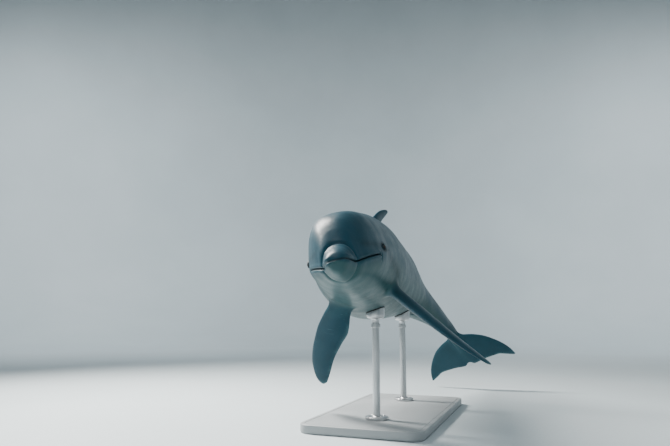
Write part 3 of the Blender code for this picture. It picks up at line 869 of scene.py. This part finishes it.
def joined(name, parts, material, node, degrees):
    """One piece made of several closed forms."""
    mesh = bpy.data.meshes.new(name)
    whole = bmesh.new()
    for part in parts:
        whole.from_mesh(part.data)
        bpy.data.objects.remove(part)
    whole.to_mesh(mesh)
    whole.free()
    thing = linked(name, mesh)
    thing.data.materials.append(material)
    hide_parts(node)
    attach(thing, "root")
    soften(thing, degrees)


def rounded_slab():
    """The base: a slab with round corners, softened edges and a fine groove round its top."""
    low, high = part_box("stand_base")
    rows = [(inset, low.z + up) for inset, up in SLAB_FOOT]
    rows += arc((BASE_SOFT, high.z - BASE_SOFT), BASE_SOFT, 180, 90, 7)
    rows += [(BASE_GROOVE + inset, high.z + up) for inset, up in GROOVE]
    rows += [(inset, high.z) for inset in SLAB_TOP]
    angle = np.radians(np.arange(0, 91, 5))
    grid = []
    for inset, height in rows:
        radius = max(BASE_CORNER - inset, 0.002)
        across, along = BASE_WIDTH / 2 - inset - radius, BASE_LENGTH / 2 - inset - radius
        ring = [(sx * across + radius * math.cos(a + math.pi / 2 * corner),
                 sy * along + radius * math.sin(a + math.pi / 2 * corner), height)
                for corner, (sx, sy) in enumerate(((1, 1), (-1, 1), (-1, -1), (1, -1))) for a in angle]
        grid.append(ring)
    grid = np.array(grid) @ turn("z", -BASE_TURN)[0].T
    return grid + (*((np.array(low) + np.array(high)) / 2)[:2], 0)


def make_base():
    slab = closed_mesh("stand_slab", rounded_slab())
    soften(slab, 40)
    slab.data.materials.append(paint_material())
    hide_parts("stand_base")
    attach(slab, "root")


def conforming(name, at, profile, low, high):
    """A closed round form: rows of (radius, share of the way from the low to the high line)."""
    grid = turned(profile, at)
    grid[..., 2] = low + (high - low) * grid[..., 2]
    return closed_mesh(name, grid, CUP_ON_MAP)


def make_rod(end, node, belly):
    """A rod with its foot, a clamp ring, and a cup whose pad takes the shape of the belly."""
    low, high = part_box(node)
    x, y = ((np.array(low) + np.array(high)) / 2)[:2]
    foot = low.z + FOOT_THICK
    upward = Vector((0, 0, 1))
    starts = turned([(CUP_RADIUS, 0.1)], (x, y))[0]
    rim = np.array([belly.ray_cast(Vector(start), upward)[0].z for start in starts])
    cup = rim.min() - CUP_BELOW
    profile = [(0.030, low.z)] + arc((FOOT_RADIUS - 0.0012, low.z + 0.0012), 0.0012, -90, 0)
    profile += arc((FOOT_RADIUS - 0.003, foot - 0.003), 0.003, 0, 90)
    profile += [(FOOT_RADIUS - 0.008, foot)]
    profile += arc((ROD_RADIUS + 0.007, foot + 0.007), 0.007, -90, -180, 8)
    profile += [(ROD_RADIUS, foot + 0.06), (ROD_RADIUS, (foot + cup) / 2), (ROD_RADIUS, cup - 0.045)]
    profile += [(ROD_RADIUS + out, cup + up) for out, up in CLAMP_RING]
    profile += arc((ROD_RADIUS + 0.010, cup - 0.010), 0.010, 180, 135, 4)[1:]
    profile += [(CUP_RADIUS + out, cup + up) for out, up in CUP_FOOT] + [(CUP_INSIDE, cup + 0.010)]
    parts = [closed_mesh("rod", turned(profile, (x, y)), ROD_ON_MAP)]
    screw = [(radius, foot + up) for radius, up in SCREW]
    for k in range(4):
        a = math.radians(45 + 90 * k - BASE_TURN)
        at = (x + SCREW_CIRCLE * math.cos(a), y + SCREW_CIRCLE * math.sin(a))
        parts.append(closed_mesh("screw", turned(screw, at, 24), SCREWS_ON_MAP,
                                 (0.02 + 0.25 * k, 0.22 + 0.25 * k)))
    wall = [(CUP_RADIUS + out, share) for out, share in CUP_WALL]
    wall = [(CUP_INSIDE, 0.0), *wall, (CUP_INSIDE, 1.0)]
    parts.append(conforming("cup", (x, y), wall, cup + 0.0095, rim - PAD_THICK))
    joined("rod_" + end, parts, steel_material(), node, 35)
    lip = [(CUP_RADIUS + out, share) for out, share in PAD_WALL]
    lip = [(PAD_INSIDE, 0.0), *lip, (CUP_INSIDE, 1.0), (PAD_INSIDE, 1.0)]
    pad = conforming("pad", (x, y), lip, rim - PAD_THICK, rim + PAD_SUNK)
    joined("pad_" + end, [pad], rubber_material(), node, 50)


# ---- materials ----
class Nodes:
    """Short ways to build one material's node tree."""

    def __init__(self, name):
        self.material = bpy.data.materials.new(name)
        self.material.use_nodes = True
        self.tree = self.material.node_tree
        self.shader = self.tree.nodes["Principled BSDF"]
        self.at = self.add("ShaderNodeTexCoord").outputs["Object"]

    def add(self, kind, **settings):
        node = self.tree.nodes.new(kind)
        for key, value in settings.items():
            setattr(node, key, value)
        return node

    def put(self, socket, value):
        """A socket takes a number, a colour or another node's output."""
        if isinstance(value, bpy.types.NodeSocket):
            self.tree.links.new(value, socket)
        else:
            socket.default_value = (*value, 1) if socket.type == "RGBA" else value

    def fill(self, node, *values, **named):
        """A node's output, after its inputs are given in order or by name."""
        for socket, value in zip(node.inputs, values):
            self.put(socket, value)
        for name, value in named.items():
            self.put(node.inputs[name.replace("_", " ")], value)
        return node.outputs[0]

    def mark(self, name, output="Fac"):
        return self.add("ShaderNodeAttribute", attribute_name=name).outputs[output]

    def math(self, operation, first, second=0.0, clamp=False):
        return self.fill(self.add("ShaderNodeMath", operation=operation, use_clamp=clamp), first, second)

    def sway(self, value, reach):
        """A noise moved to vary about zero."""
        return self.math("MULTIPLY", self.math("SUBTRACT", value, 0.5), reach)

    def stretch(self, vector, scale):
        return self.fill(self.add("ShaderNodeVectorMath", operation="MULTIPLY"), vector, scale)

    def noise(self, vector, scale, detail, rough=0.55):
        return self.fill(self.add("ShaderNodeTexNoise"), Vector=vector, Scale=scale, Detail=detail,
                         Roughness=rough)

    def cells(self, vector, scale):
        return self.fill(self.add("ShaderNodeTexVoronoi"), Vector=vector, Scale=scale)

    def map(self, value, low, high, to_low=0.0, to_high=1.0):
        node = self.add("ShaderNodeMapRange", interpolation_type="SMOOTHSTEP")
        return self.fill(node, value, low, high, to_low, to_high)

    def ramp(self, value, stops):
        node = self.add("ShaderNodeValToRGB")
        node.color_ramp.interpolation = "EASE"
        for stop in stops[2:]:
            node.color_ramp.elements.new(stop[0])
        for element, (at, colour) in zip(node.color_ramp.elements, stops):
            element.position = at
            element.color = (*colour, 1)
        self.put(node.inputs[0], value)
        return node.outputs[0]

    def mix(self, share, first, second, blend="MIX"):
        node = self.add("ShaderNodeMix", data_type="RGBA", blend_type=blend)
        self.put(node.inputs["Factor"], share)
        for socket, value in zip(node.inputs[6:8], (first, second)):
            self.put(socket, value)
        return node.outputs[2]

    def bump(self, height, distance, strength, **under):
        return self.fill(self.add("ShaderNodeBump"), Height=height, Distance=distance,
                         Strength=strength, **under)

    def finish(self, colour, rough, normal, **others):
        self.fill(self.shader, Base_Color=colour, Roughness=rough, Normal=normal, **others)
        return self.material


BASE_COLOUR = (0.30, 0.32, 0.33)
BELLY_COLOUR = (0.032, 0.080, 0.087)
FLANK_COLOUR = (0.018, 0.062, 0.082)
BACK_COLOUR = (0.013, 0.051, 0.073)
# DARK_COLOUR paints the dark markings, and also the painted shade in the mouth's groove and the blowhole
DARK_COLOUR = (0.006, 0.014, 0.018)
WORN_COLOUR = (0.110, 0.220, 0.240)


def skin_material():
    n = Nodes("dolphin_skin")
    along = n.mark("straight", "Vector")
    broad = n.noise(n.at, 3.2, 3)
    patchy = n.noise(n.at, 14, 5, 0.6)
    fine = n.noise(n.at, 90, 4, 0.6)
    tone = n.math("ADD", n.mark("tone"), n.sway(broad, 0.30))
    tone = n.math("ADD", tone, n.sway(patchy, 0.16), clamp=True)
    colour = n.ramp(tone, [(0.04, BELLY_COLOUR), (0.50, FLANK_COLOUR), (0.96, BACK_COLOUR)])
    speckle = n.map(n.cells(n.at, 160), 0.10, 0.30, 1.0, 0.0)
    shade = n.map(patchy, 0.3, 0.7, 0.80, 1.0)
    colour = n.mix(1.0, colour, n.ramp(shade, [(0.0, (0, 0, 0)), (1.0, (1, 1, 1))]), "MULTIPLY")
    lighter = n.math("MULTIPLY", speckle, n.map(fine, 0.45, 0.7, 0.0, 0.10))
    colour = n.mix(lighter, colour, WORN_COLOUR)
    streaks = n.noise(n.stretch(along, (2.0, 60.0, 60.0)), 3.0, 3, 0.5)
    scratches = n.map(streaks, 0.66, 0.72, 0.0, n.map(broad, 0.5, 0.62, 0.0, 0.30))
    colour = n.mix(scratches, colour, WORN_COLOUR)
    worn = n.math("MULTIPLY", n.mark("wear"), n.map(patchy, 0.40, 0.62, 0.05, 0.45))
    colour = n.mix(worn, colour, WORN_COLOUR)
    # dark markings and painted shade in the mouth's groove and the blowhole
    colour = n.mix(n.math("MULTIPLY", n.mark("dark"), 0.93), colour, DARK_COLOUR)
    rough = n.map(patchy, 0.3, 0.7, 0.34, 0.46)
    rough = n.math("ADD", rough, n.sway(fine, 0.14))
    rough = n.math("ADD", rough, n.math("MULTIPLY", n.mark("dark"), 0.15))
    ridges = n.noise(n.stretch(along, (420.0, 60.0, 60.0)), 1.0, 2, 0.5)
    normal = n.bump(broad, 0.012, 0.6)
    normal = n.bump(patchy, 0.0012, 0.6, Normal=normal)
    normal = n.bump(fine, 0.0006, 0.7, Normal=normal)
    normal = n.bump(ridges, 0.00010, 0.5, Normal=normal)
    return n.finish(colour, rough, normal, IOR=1.20, Coat_Weight=0.04, Coat_Roughness=0.20)


def eye_material():
    n = Nodes("dolphin_eye")
    parts = n.add("ShaderNodeSeparateXYZ")
    n.put(parts.inputs[0], n.mark("gaze", "Vector"))
    across, above, out = parts.outputs
    span = n.math("MULTIPLY", across, across)
    height = n.math("MULTIPLY", above, above)
    pupil = n.math("SQRT", n.math("ADD", n.math("MULTIPLY", span, 9.0), n.math("MULTIPLY", height, 26.0)))
    iris = n.math("SQRT", n.math("ADD", span, n.math("MULTIPLY", height, 1.3)))
    threads = n.noise(n.at, 900, 4, 0.65)
    colour = n.ramp(n.math("ADD", iris, n.sway(threads, 0.14)), [
        (0.30, (0.022, 0.012, 0.007)), (0.50, (0.034, 0.018, 0.010)), (0.62, (0.010, 0.006, 0.005)),
        (0.90, (0.020, 0.015, 0.014))])
    colour = n.mix(n.map(pupil, 0.88, 1.06, 1.0, 0.0), colour, (0.002, 0.003, 0.004))
    rough = n.map(threads, 0.3, 0.7, 0.06, 0.12)
    normal = n.bump(threads, 0.0001, 0.3)
    return n.finish(colour, rough, normal, IOR=1.34, Coat_Weight=0.15, Coat_Roughness=0.03)


def paint_material():
    """Powder-coated metal: an orange-peel surface with a little dust."""
    n = Nodes("stand_paint")
    broad = n.noise(n.at, 4, 3)
    fine = n.noise(n.at, 700, 3, 0.5)
    dusty = tuple(c * 1.18 + 0.015 for c in BASE_COLOUR)
    shade = n.mix(n.map(broad, 0.35, 0.65, 0.0, 0.5), BASE_COLOUR, dusty)
    shade = n.mix(n.map(fine, 0.4, 0.6, 0.0, 0.16), shade, dusty)
    return n.finish(shade, n.map(broad, 0.3, 0.7, 0.40, 0.53), n.bump(fine, 0.0002, 0.5))


def rubber_material():
    n = Nodes("cup_rubber")
    broad = n.noise(n.at, 30, 3)
    fine = n.noise(n.at, 900, 3, 0.5)
    colour = n.mix(n.map(broad, 0.35, 0.65), (0.012, 0.013, 0.014), (0.022, 0.023, 0.024))
    rough = n.map(fine, 0.3, 0.7, 0.55, 0.72)
    return n.finish(colour, rough, n.bump(fine, 0.0002, 0.5))


def steel_material():
    n = Nodes("brushed_steel")
    brushed = n.noise(n.stretch(n.at, (60, 60, 1600)), 1.0, 3, 0.6)
    smudge = n.noise(n.at, 12, 3)
    colour = n.mix(n.map(brushed, 0.3, 0.7), (0.50, 0.51, 0.52), (0.62, 0.63, 0.64))
    rough = n.math("ADD", n.map(smudge, 0.35, 0.65, 0.26, 0.36), n.math("MULTIPLY", brushed, 0.08))
    return n.finish(colour, rough, n.bump(brushed, 0.0001, 0.4), Metallic=1.0)


def floor_material():
    n = Nodes("studio_floor")
    broad = n.noise(n.at, 0.6, 4)
    fine = n.noise(n.at, 60, 4, 0.6)
    colour = n.mix(n.map(broad, 0.3, 0.7), (0.50, 0.565, 0.59), (0.54, 0.605, 0.63))
    colour = n.mix(n.map(fine, 0.35, 0.65, 0.0, 0.12), colour, (0.46, 0.525, 0.55))
    rough = n.map(fine, 0.3, 0.7, 0.62, 0.78)
    return n.finish(colour, rough, n.bump(fine, 0.0004, 0.3))


# ---- stage, light and camera ----
BACKDROP = 10.5
BACKDROP_HEIGHT = 9.5
SWEEP = 3.5
SKY_COLOUR = (0.80, 0.88, 0.92, 1)
SKY_STRENGTH = 0.34
LAMP_SPREAD = 140         # degrees
# Name, place, what it aims at, size, watts, colour.
LAMPS = (
    ("key", (-2.5, 1.0, 3.2), (-0.45, -0.7, 0.7), (0.7, 2.4), 380, (1, 0.97, 0.92)),
    ("front", (-1.8, -3.4, 3.6), (-0.4, -0.5, 0.6), (2.2, 2.2), 46, (0.92, 0.97, 1)),
    ("fill", (3.2, -2.0, 2.8), (0, 0, 0.6), (2.4, 2.4), 15, (0.9, 0.96, 1)),
    ("backdrop_left", (-5.0, 4.0, 5.5), (-4.0, 9.5, 0.8), (3, 3), 230, (0.94, 0.98, 1)),
    ("backdrop_right", (5.0, 4.0, 5.5), (4.0, 9.5, 0.8), (3, 3), 230, (0.94, 0.98, 1)),
)
LENS = 29.55              # millimetres, on a sensor this wide
SENSOR = 36
CAMERA_TILT = 10          # degrees it looks up
CAMERA_FROM_EYES = (-0.0408, -1.99051, -0.2284)


def make_stage():
    """A pale floor that sweeps up into a round backdrop."""
    profile = [(0.001, 0), (1.5, 0), (3, 0), (5, 0), (BACKDROP - SWEEP, 0)]
    profile += arc((BACKDROP - SWEEP, SWEEP), SWEEP, -90, 0, 24)[1:]
    profile += [(BACKDROP, BACKDROP_HEIGHT)]
    points = turned(profile, (0, 0)).reshape(-1, 3)
    quads = grid_quads(len(profile), ROUND_FACETS)[:, ::-1]
    mesh = bpy.data.meshes.new("studio")
    mesh.from_pydata(points.tolist(), [], quads.tolist() + [list(range(ROUND_FACETS))])
    mesh.shade_smooth()
    mesh.materials.append(floor_material())
    floor = linked("studio", mesh)
    world = bpy.data.worlds.new("studio")
    world.use_nodes = True
    sky = world.node_tree.nodes["Background"]
    sky.inputs["Color"].default_value = SKY_COLOUR
    sky.inputs["Strength"].default_value = SKY_STRENGTH
    bpy.context.scene.world = world


def area_light(name, at, aim, size, power, colour):
    data = bpy.data.lights.new(name, "AREA")
    data.shape = "RECTANGLE"
    data.size, data.size_y = size
    data.energy = power
    data.spread = math.radians(LAMP_SPREAD)
    data.color = colour
    light = linked(name, data)
    light.location = at
    light.rotation_euler = (Vector(aim) - Vector(at)).to_track_quat("-Z", "Y").to_euler()
    light.visible_camera = False


def make_camera():
    data = bpy.data.cameras.new("camera")
    data.lens = LENS
    data.sensor_width = SENSOR
    camera = linked("camera", data)
    camera.location = EYES_AT + CAMERA_FROM_EYES
    camera.rotation_euler = (math.radians(90 + CAMERA_TILT), 0, 0)
    bpy.context.scene.camera = camera


dolphin = make_skin()
make_eye("eyeball_left", "eye_left", 1)
make_eye("eyeball_right", "eye_right", -1)
belly_tree = BVHTree.FromPolygons([v.co for v in dolphin.data.vertices],
                                  [p.vertices for p in dolphin.data.polygons])
make_rod("front", "stand_rod_front", belly_tree)
make_rod("rear", "stand_rod_rear", belly_tree)
make_base()
make_stage()
for lamp in LAMPS:
    area_light(*lamp)
make_camera()
